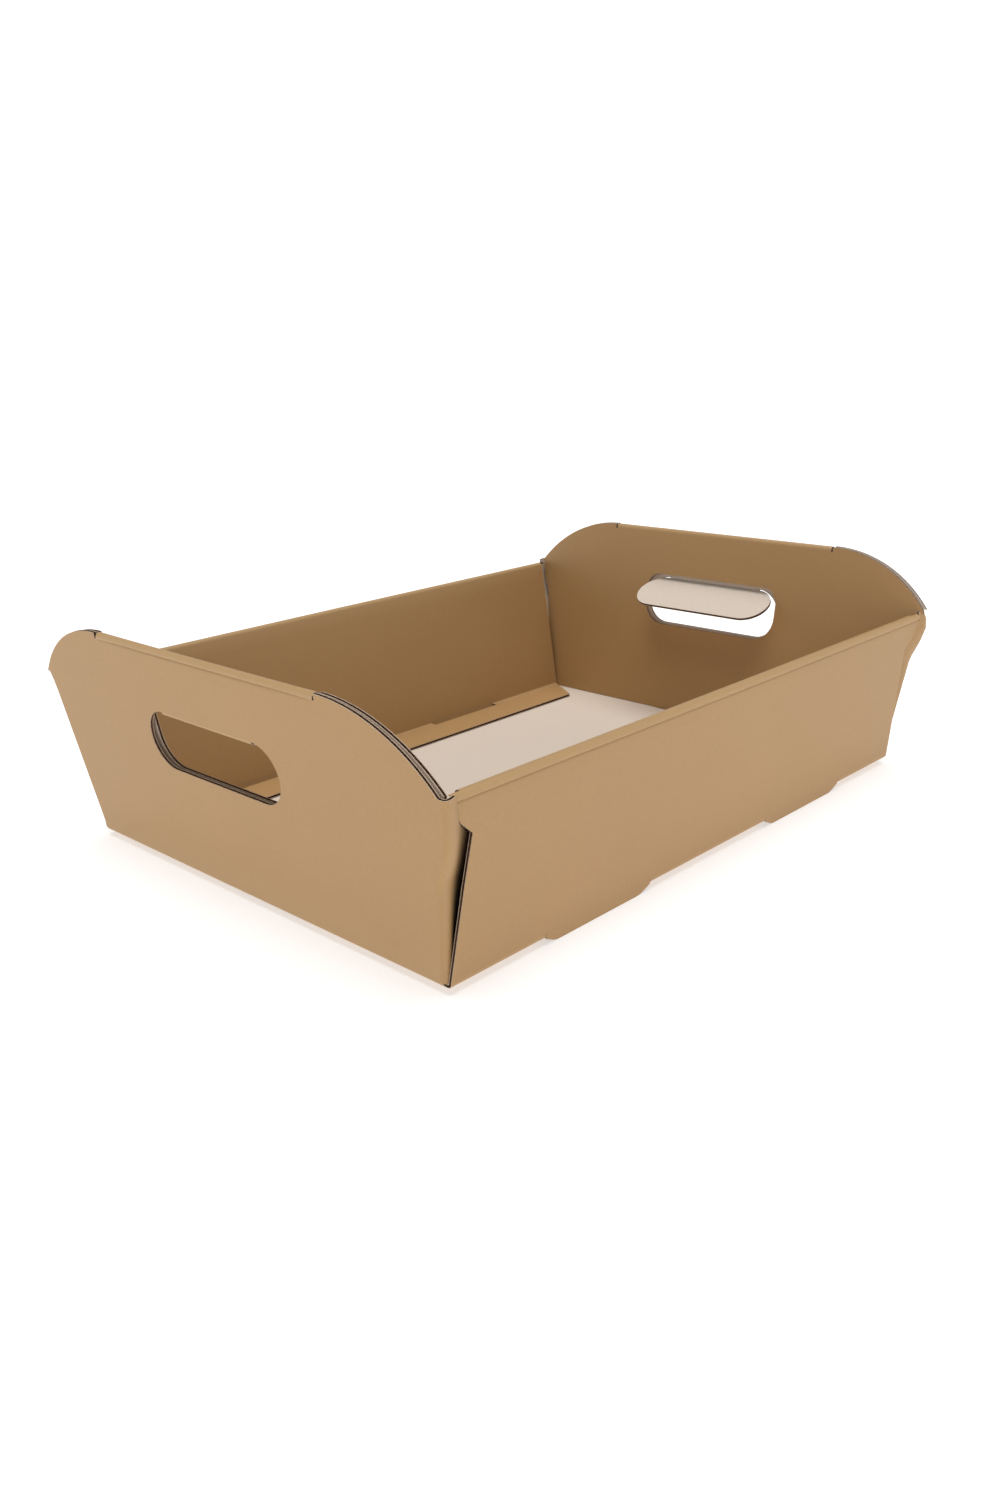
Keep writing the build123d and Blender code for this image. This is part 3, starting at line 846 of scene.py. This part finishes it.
    lining_low = up_slope(BOARD + PLY_GAP, END_LINING_SLOPE)
    inside = up_slope(BOARD, SIDE_SLOPE) + 2 * PLY_GAP
    lining_arc = shoulder((fold_end, lining_slant), (shoulder_out, up_slope(SHOULDER_HEIGHT, END_LINING_SLOPE)))
    half = [
        (END_LOCK_LENGTH / 2, -LOCK_DROP),
        (END_LOCK_LENGTH / 2, lining_low),
        (corner_line(lining_low) - inside, lining_low),
        (corner_line(tuck_top) - inside, tuck_top + HALF),
        (corner_line(EAR_LOW), EAR_LOW),
        *reversed(lining_arc),
        (fold_end, lining_slant),
        (fold_end, lining_top),
        (END_FOLD_HALF, lining_top),
    ]
    outline = both_halves([(p[0], over_top - p[1]) for p in half])
    middle = (HOLE_LENGTH + LINING_HOLE_OVER) / 2
    low, high = over_top - HOLE_LOW + LINING_HOLE_UNDER, over_top - HINGE_SLANT - LINING_HOLE_ABOVE
    hole = rounded(
        [
            (hole_shift - middle, low, bend),
            (hole_shift + middle, low, bend),
            (hole_shift + middle, high, LINING_HOLE_CORNER),
            (hole_shift - middle, high, LINING_HOLE_CORNER),
        ]
    )
    board.panel(
        outline,
        shape.end(lining_path, end),
        across=0,
        holes=[hole],
        joined=lambda a, b: touching(a[1], over_top - lining_top) and touching(b[1], a[1])
        and max(abs(a[0]), abs(b[0])) < END_FOLD_HALF + 0.01,
    )


def add_corner(board, shape, end, side):
    """The fold at a corner, and the flap that goes from it in between the long side's two layers."""
    fold_line = Vector((END_SLOPE, SIDE_SLOPE, 1)).normalized()
    end_normal = Vector((1, 0, -END_SLOPE)).normalized()
    tuck_normal = Vector((0, 1, -SIDE_SLOPE)).normalized()
    into_end = end_normal.cross(fold_line)
    into_tuck = fold_line.cross(tuck_normal)
    foot = Vector((HALF_LENGTH, TUCK_HALF, 0))
    tuck_out = Vector((tuck_normal.dot(into_end), tuck_normal.dot(end_normal)))
    tuck_in = Vector((into_tuck.dot(into_end), into_tuck.dot(end_normal)))
    bend_at = Vector((HALF * (tuck_out.y - 1) / tuck_out.x, -HALF))
    flat = -into_end.y * FLAT_EDGE
    path = FoldedPath([Vector((flat, -HALF)), bend_at, bend_at + tuck_in * 2 * TUCK_FLAP_LENGTH], [CREASE_BEND])
    fold_end = path.folds[0][1]

    def place(x, y, offset):
        middle, printed = path.at(y)
        spot = middle + printed * offset
        spot = foot + into_end * spot.x + end_normal * spot.y + fold_line * x
        run = eased((y - fold_end) / BULGE_REACH)
        sink = max(0.0, TUCK_SINK - TUCK_SINK_FALL * spot.z) * eased((y - fold_end) / SINK_REACH)
        spot.y += bulge(end, side, spot.z) * (1 - run) - sink
        reach = spot.x + shape.end_shift(end, spot.y, spot.z)
        # the blank's third value is negative here: painted shade in the corner gap
        return Vector((end * reach, side * spot.y, spot.z + FOOT_HEIGHT)), -painted_shade_share(y - fold_end, spot.z), y, x

    def painted_shade_share(run, height):
        """Painted shade: 0 where the flap lies open, and 1 where it goes in behind the long side."""
        share = run / side_inset(height)
        fade = PAINTED_GAP_SHADE[end, side] * (1 - 0.8 * eased((height - TUCK_FLAP_HEIGHT) / EAR_STEP))
        return eased((share - GAP_START) / (1 - GAP_START)) * fade

    def on_flap(inset, height):
        """A point of the flap, this far in from the end wall's face: up the fold, and along the board."""
        rise = Vector((end_outside(height) - inset, TUCK_HALF + SIDE_SLOPE * height, height)) - foot
        return rise.dot(fold_line), path.on_leg(1, rise.dot(into_tuck) - bend_at.dot(tuck_in))

    low = TUCK_FLAP_LOW - BOARD
    flap_end = end_outside(0) - HALF_LENGTH + TUCK_FLAP_LENGTH
    outline = rounded(
        [
            (low, 0, 0),
            (EAR_TOP / fold_line.z, 0, 0),
            (*on_flap(SIDE_EAR_INSET - EAR_GAP, EAR_TOP), 0),
            (*on_flap(SIDE_EAR_LOW_INSET - EAR_GAP, EAR_LOW), 0),
            (*on_flap(SIDE_WAIST_INSET, TUCK_FLAP_HEIGHT), 0),
            (*on_flap(flap_end + end_outside(TUCK_FLAP_HEIGHT) - HALF_LENGTH,
                      TUCK_FLAP_HEIGHT - TUCK_FLAP_DROP), TUCK_FLAP_CORNER),
            (*on_flap(flap_end, TUCK_FLAP_LOW), TUCK_FLAP_CORNER),
            (low, fold_end, 0),
        ]
    )
    rows = path.rows + [fold_end + BULGE_REACH * share / 8 for share in range(1, 9)]
    board.panel(outline, place, across=1, rows=rows, columns=[height / fold_line.z for height in EDGE_HEIGHTS[:-1]])


def build_tray(settings):
    """The whole folded blank, as its liners and its medium."""
    liners, flutes = PaperMesh(), PaperMesh()
    board = Board(settings, liners, flutes)
    shape = TrayShape(settings)
    add_base(board, shape)
    for side in (-1, 1):
        add_long_side(board, shape, side)
    for end, shift in ((-1, HOLE_NEAR_SHIFT), (1, HOLE_FAR_SHIFT)):
        add_end(board, shape, end, shift)
        for side in (-1, 1):
            add_corner(board, shape, end, side)
    materials = board_materials(settings)
    skin = liners.make("tray_liners", materials)
    medium = flutes.make("tray_medium", materials, weld=False)
    for piece in (skin, medium):
        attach(piece, "tray_body")
        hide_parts("tray")
    return skin, medium


def build_hand_flap(settings, name, node, end, shift, angle):
    """A hand-hole flap and the soft crease that it swings on."""
    lean = math.atan(END_SLOPE)
    turn = math.radians(angle)
    up = Vector((math.sin(lean), math.cos(lean)))
    out = Vector((math.cos(lean), -math.sin(lean)))
    crease = middle_at(HALF_LENGTH, END_SLOPE, HINGE_SLANT - HALF * math.tan(turn / 2), -1)
    inward = -up * math.cos(turn) - out * math.sin(turn)
    tip = crease + inward * (HOLE_HEIGHT - CUT_GAP + HALF * math.tan(turn / 2))
    root = middle_at(HALF_LENGTH, END_SLOPE, HINGE_SLANT + FLAP_ROOT, -1)
    path = FoldedPath([tip, crease, root], [FLAP_BEND])
    shape = TrayShape(settings)

    def place(x, y, offset):
        middle, printed = path.at(y)
        spot = middle + printed * offset
        reach = spot.x + shape.end_shift(end, x, HINGE_SLANT)
        return Vector((end * reach, x, spot.y + FOOT_HEIGHT)), path.folded(y), x, y

    paper = PaperMesh()
    board = Board(settings, paper, paper)
    reach = HOLE_LENGTH / 2 - CUT_GAP
    height = HOLE_HEIGHT - 2 * CUT_GAP
    neck = reach - height / 2 - CUT_GAP
    outline = rounded(
        [
            (shift - reach, 0, height / 2),
            (shift + reach, 0, height / 2),
            (shift + reach, height, height / 2),
            (shift + neck, height, 0),
            (shift + neck, path.length, 0),
            (shift - neck, path.length, 0),
            (shift - neck, height, 0),
            (shift - reach, height, height / 2),
        ]
    )
    board.panel(outline, place, across=0, rows=path.rows)
    piece = paper.make(name, board_materials(settings))
    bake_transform(piece)
    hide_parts(node)
    return piece


# --- materials ---
def linear(code):
    """Linear colour from an sRGB hex value."""
    values = [int(code[i : i + 2], 16) / 255 for i in (0, 2, 4)]
    return tuple(v / 12.92 if v <= 0.04045 else ((v + 0.055) / 1.055) ** 2.4 for v in values)


def add_node(tree, kind, inputs=None, **settings):
    """Adds a node with its settings; each input is a value or another node's output."""
    node = tree.nodes.new(kind)
    for name, value in settings.items():
        setattr(node, name, value)
    for key, value in (inputs or {}).items():
        if isinstance(value, bpy.types.NodeSocket):
            tree.links.new(value, node.inputs[key])
        else:
            node.inputs[key].default_value = value
    return node


def paper_material(name, colour, dark, light, settings, **finish):
    """Paper: a colour with clouds of darker and lighter fibre, faint flute lines and a fine tooth; paler at folds,
    where the print is stretched and a painted highlight is added, and darkened by painted shade in the corner gaps.
    """
    material = bpy.data.materials.new(name)
    material.use_nodes = True
    tree = material.node_tree
    tree.nodes.clear()
    blank = add_node(tree, "ShaderNodeAttribute", attribute_name="blank")
    parts = add_node(tree, "ShaderNodeSeparateXYZ", {0: blank.outputs["Vector"]})
    where = add_node(tree, "ShaderNodeTexCoord").outputs["Object"]
    clouds = add_node(tree, "ShaderNodeTexNoise", {"Vector": where, "Scale": 1 / 0.045, "Detail": 3.0})
    fibres = add_node(tree, "ShaderNodeTexNoise", {"Vector": where, "Scale": 1 / 0.0012, "Detail": 4.0})
    shade = add_node(
        tree,
        "ShaderNodeMix",
        {0: clouds.outputs[0], 6: (*dark, 1), 7: (*colour, 1)},
        data_type="RGBA",
    )
    speck = add_node(
        tree,
        "ShaderNodeMapRange",
        {0: fibres.outputs[0], 1: 0.3, 2: 0.7, 3: 0.97, 4: 1.03},
    )
    tooth = add_node(
        tree,
        "ShaderNodeMix",
        {0: 1.0, 6: shade.outputs[2], 7: speck.outputs[0]},
        data_type="RGBA",
        blend_type="MULTIPLY",
    )
    # folds: pale stretched print, plus a painted highlight along the rounded rims
    worn_and_highlit = add_node(tree, "ShaderNodeMath", {0: parts.outputs[2], 1: finish.get("wear", 0.0)}, operation="MULTIPLY")
    creased_and_highlit = add_node(
        tree,
        "ShaderNodeMix",
        {0: worn_and_highlit.outputs[0], 6: tooth.outputs[2], 7: (*light, 1)},
        data_type="RGBA",
    )
    # painted shade: where the blank's third value is negative, the gap colour is mixed in
    deep = add_node(tree, "ShaderNodeMath", {0: parts.outputs[2], 1: -1.0}, operation="MULTIPLY")
    skin = add_node(
        tree,
        "ShaderNodeMix",
        {0: deep.outputs[0], 6: creased_and_highlit.outputs[2], 7: (*settings.painted_gap_shade_colour, 1)},
        data_type="RGBA",
    )
    wave = add_node(
        tree, "ShaderNodeMath", {0: parts.outputs[0], 1: math.tau / settings.flute_pitch}, operation="MULTIPLY"
    )
    ridge = add_node(tree, "ShaderNodeMath", {0: wave.outputs[0]}, operation="SINE")
    height = add_node(
        tree,
        "ShaderNodeMath",
        {0: ridge.outputs[0], 1: settings.washboard, 2: fibres.outputs[0]},
        operation="MULTIPLY_ADD",
    )
    bump = add_node(tree, "ShaderNodeBump", {"Strength": 0.25, "Distance": 0.00003, "Height": height.outputs[0]})
    surface = add_node(
        tree,
        "ShaderNodeBsdfPrincipled",
        {
            "Base Color": skin.outputs[2],
            "Roughness": finish["roughness"],
            "Specular IOR Level": finish["specular"],
            "Normal": bump.outputs[0],
        },
    )
    add_node(tree, "ShaderNodeOutputMaterial", {0: surface.outputs[0]})
    return material


_materials = []


def board_materials(settings):
    """The finishes of the board, in the order that its meshes number them."""
    if not _materials:
        shade = tuple(0.94 * c for c in settings.print_colour)
        _materials.extend(
            [
                # smooth gold-brown print on a coated liner: a soft sheen, paler at folds where the print is stretched,
                # with a painted highlight there as well
                paper_material(
                    "printed_kraft_liner", settings.print_colour, shade, settings.fold_stretch_and_highlight_colour, settings,
                    roughness=0.48, specular=0.35, wear=0.22,
                ),
                # clay-white back of the sheet: matt, with a warm cast
                paper_material(
                    "white_back_liner", settings.white_colour, tuple(0.96 * c for c in settings.white_colour),
                    settings.white_colour, settings, roughness=0.75, specular=0.2,
                ),
                # glued faces inside the board, seen only between the flutes
                paper_material(
                    "inner_kraft_paper", settings.medium_colour, settings.medium_colour,
                    settings.medium_colour, settings, roughness=0.9, specular=0.1,
                ),
                # knife-cut edge of the liners: pale, rough fibre
                paper_material(
                    "cut_paper_edge", settings.cut_colour, settings.cut_colour,
                    settings.cut_colour, settings, roughness=0.9, specular=0.1,
                ),
                # recycled medium: dull brown, unprinted
                paper_material(
                    "fluting_paper", settings.medium_colour, tuple(0.9 * c for c in settings.medium_colour),
                    settings.medium_colour, settings, roughness=0.9, specular=0.1,
                ),
            ]
        )
    return _materials


# --- stage ---
def build_stage(settings):
    """A pale floor, soft even studio light and the camera."""
    bm = bmesh.new()
    reach = settings.floor_size / 2
    cells = 8
    bmesh.ops.create_grid(bm, x_segments=cells, y_segments=cells, size=reach)
    mesh = bpy.data.meshes.new("studio_floor")
    bm.to_mesh(mesh)
    bm.free()
    floor = bpy.data.objects.new("studio_floor", mesh)
    bpy.context.scene.collection.objects.link(floor)
    material = bpy.data.materials.new("matt_studio_sweep")
    material.use_nodes = True
    surface = material.node_tree.nodes["Principled BSDF"]
    surface.inputs["Base Color"].default_value = (*settings.floor_colour, 1)
    surface.inputs["Roughness"].default_value = 0.9
    surface.inputs["Specular IOR Level"].default_value = 0.0
    surface.inputs["Emission Color"].default_value = (*settings.floor_colour, 1)
    surface.inputs["Emission Strength"].default_value = settings.floor_glow
    mesh.materials.append(material)

    world = bpy.data.worlds.new("studio_light")
    world.use_nodes = True
    tree = world.node_tree
    tree.nodes.clear()
    way = add_node(tree, "ShaderNodeTexCoord").outputs["Generated"]
    rise = add_node(tree, "ShaderNodeSeparateXYZ", {0: way}).outputs["Z"]
    light = add_node(
        tree, "ShaderNodeMapRange", {0: rise, 1: 0.28, 2: 0.45, 3: settings.wall_light, 4: settings.ceiling_light}
    )
    room = add_node(tree, "ShaderNodeBackground", {0: (*settings.light_colour, 1), 1: light.outputs[0]})
    add_node(tree, "ShaderNodeOutputWorld", {0: room.outputs[0]})
    bpy.context.scene.world = world
    panel = bpy.data.lights.new("overhead_panel", "SUN")
    panel.energy = settings.overhead_light
    panel.angle = math.radians(OVERHEAD_SPREAD)
    lamp = bpy.data.objects.new("overhead_panel", panel)
    lamp.location = (0, 0, 2)
    bpy.context.scene.collection.objects.link(lamp)

    camera = bpy.data.cameras.new("camera")
    camera.lens = CAMERA_LENS
    camera.sensor_width = 36.0
    azimuth, elevation, roll = (math.radians(a) for a in CAMERA_TURN)
    back = Vector(
        (
            math.sin(azimuth) * math.cos(elevation),
            -math.cos(azimuth) * math.cos(elevation),
            math.sin(elevation),
        )
    )
    right = (-back).cross(Vector((0, 0, 1))).normalized()
    up = right.cross(-back)
    level = Matrix((right, up, back)).transposed()
    eye = bpy.data.objects.new("camera", camera)
    bpy.context.scene.collection.objects.link(eye)
    eye.matrix_world = Matrix.Translation(CAMERA_PLACE) @ (level @ Matrix.Rotation(roll, 3, "Z")).to_4x4()
    bpy.context.scene.camera = eye
    bpy.context.scene.view_settings.view_transform = "Standard"


# --- the add-on: settings, operators and panel ---
class TrayBoxBoardSettings(bpy.types.PropertyGroup):
    """Board and shape of the tray box."""

    flute_pitch: bpy.props.FloatProperty(
        name="Flute pitch", description="Length of one wave of the medium", default=0.0032, min=0.001, unit="LENGTH"
    )
    liner_thickness: bpy.props.FloatProperty(
        name="Liner thickness", description="Thickness of each flat liner", default=0.0003, min=0.0001, unit="LENGTH"
    )
    medium_thickness: bpy.props.FloatProperty(
        name="Medium thickness", description="Thickness of the wavy paper", default=0.00014, min=0.0001, unit="LENGTH"
    )
    near_end_bow: bpy.props.FloatProperty(
        name="Near end bow", description="How far the near end bows out at its top", default=0.0012, unit="LENGTH"
    )
    far_end_bow: bpy.props.FloatProperty(
        name="Far end bow", description="How far the far end bows out at its top", default=0.0006, unit="LENGTH"
    )
    side_bow: bpy.props.FloatProperty(
        name="Side bow", description="How far the long sides bow out at the rim", default=0.0005, unit="LENGTH"
    )
    crease_depth: bpy.props.FloatProperty(
        name="Crease depth", description="How deep the rims' creases are pressed", default=0.00045, unit="LENGTH"
    )
    washboard: bpy.props.FloatProperty(
        name="Washboard", description="How much the flutes show through the liners", default=0.25, min=0.0
    )
    print_colour: bpy.props.FloatVectorProperty(
        name="Print", description="Colour of the printed liner", subtype="COLOR", default=linear("b58f60")
    )
    # stretched print at folds, lightened further as a painted highlight
    fold_stretch_and_highlight_colour: bpy.props.FloatVectorProperty(
        name="Folds", description="Colour of the print where a fold stretches it", subtype="COLOR",
        default=linear("d2b68c"),
    )
    white_colour: bpy.props.FloatVectorProperty(
        name="White back", description="Colour of the white liner", subtype="COLOR", default=linear("dfd1c2")
    )
    medium_colour: bpy.props.FloatVectorProperty(
        name="Medium", description="Colour of the fluted paper", subtype="COLOR", default=linear("6b4e39")
    )
    # painted shade: the near-black colour that the corner gaps are painted with
    painted_gap_shade_colour: bpy.props.FloatVectorProperty(
        name="Gap", description="Colour deep in the gap where a corner flap goes in", subtype="COLOR",
        default=linear("1e120a"),
    )
    cut_colour: bpy.props.FloatVectorProperty(
        name="Cut edge", description="Colour of the liners' cut edges", subtype="COLOR", default=linear("c4b09c")
    )


class TrayBoxStageSettings(bpy.types.PropertyGroup):
    """Floor and lights."""

    floor_size: bpy.props.FloatProperty(
        name="Floor size", description="Length of the floor's sides", default=40.0, min=1.0, unit="LENGTH"
    )
    floor_colour: bpy.props.FloatVectorProperty(
        name="Floor", description="Colour of the floor", subtype="COLOR", default=linear("dedede")
    )
    light_colour: bpy.props.FloatVectorProperty(
        name="Light", description="Colour of the room's light", subtype="COLOR", default=linear("ffffff")
    )
    wall_light: bpy.props.FloatProperty(
        name="Wall light", description="Brightness of the studio's walls", default=1.02, min=0.0
    )
    ceiling_light: bpy.props.FloatProperty(
        name="Ceiling light", description="Brightness of the studio's ceiling", default=0.1, min=0.0
    )
    overhead_light: bpy.props.FloatProperty(
        name="Overhead light", description="Strength of the wide light overhead", default=2.4, min=0.0
    )
    floor_glow: bpy.props.FloatProperty(
        name="Floor glow", description="Light that the floor gives off itself", default=0.74, min=0.0
    )


class TRAYBOX_OT_tray(bpy.types.Operator):
    """Build the folded tray: base, long sides, ends and corner flaps"""

    bl_idname = "traybox.tray"
    bl_label = "Folded Tray"

    def execute(self, context):
        build_tray(context.scene.tray_box_board)
        return {"FINISHED"}


class TRAYBOX_OT_hand_flaps(bpy.types.Operator):
    """Build the two hand-hole flaps, pushed in"""

    bl_idname = "traybox.hand_flaps"
    bl_label = "Hand-hole Flaps"

    def execute(self, context):
        for name, body, node, end, shift, angle in (
            ("near_flap_board", "near_flap", "near_hand_flap", -1, HOLE_NEAR_SHIFT, NEAR_FLAP_ANGLE),
            ("far_flap_board", "far_flap", "far_hand_flap", 1, HOLE_FAR_SHIFT, FAR_FLAP_ANGLE),
        ):
            build_hand_flap(context.scene.tray_box_board, name, node, end, shift, angle)
        return {"FINISHED"}


class TRAYBOX_OT_stage(bpy.types.Operator):
    """Build the floor, the lights and the camera"""

    bl_idname = "traybox.stage"
    bl_label = "Studio Stage"

    def execute(self, context):
        build_stage(context.scene.tray_box_stage)
        return {"FINISHED"}


class TRAYBOX_PT_panel(bpy.types.Panel):
    """Tray box settings and the buttons that build it"""

    bl_idname = "TRAYBOX_PT_panel"
    bl_label = "Cardboard Tray Box"
    bl_space_type = "VIEW_3D"
    bl_region_type = "UI"
    bl_category = "Tray Box"

    def draw(self, context):
        for settings in (context.scene.tray_box_board, context.scene.tray_box_stage):
            for name in settings.__annotations__:
                self.layout.prop(settings, name)
        for operator in OPERATORS:
            self.layout.operator(operator.bl_idname)


OPERATORS = (TRAYBOX_OT_tray, TRAYBOX_OT_hand_flaps, TRAYBOX_OT_stage)
CLASSES = (TrayBoxBoardSettings, TrayBoxStageSettings, *OPERATORS, TRAYBOX_PT_panel)


def register():
    for cls in CLASSES:
        bpy.utils.register_class(cls)
    bpy.types.Scene.tray_box_board = bpy.props.PointerProperty(type=TrayBoxBoardSettings)
    bpy.types.Scene.tray_box_stage = bpy.props.PointerProperty(type=TrayBoxStageSettings)


def unregister():
    del bpy.types.Scene.tray_box_board
    del bpy.types.Scene.tray_box_stage
    for cls in reversed(CLASSES):
        bpy.utils.unregister_class(cls)


def main():
    """Builds everything."""
    register()
    bpy.ops.traybox.tray()
    bpy.ops.traybox.hand_flaps()
    bpy.ops.traybox.stage()


if __name__ == "__main__":
    main()
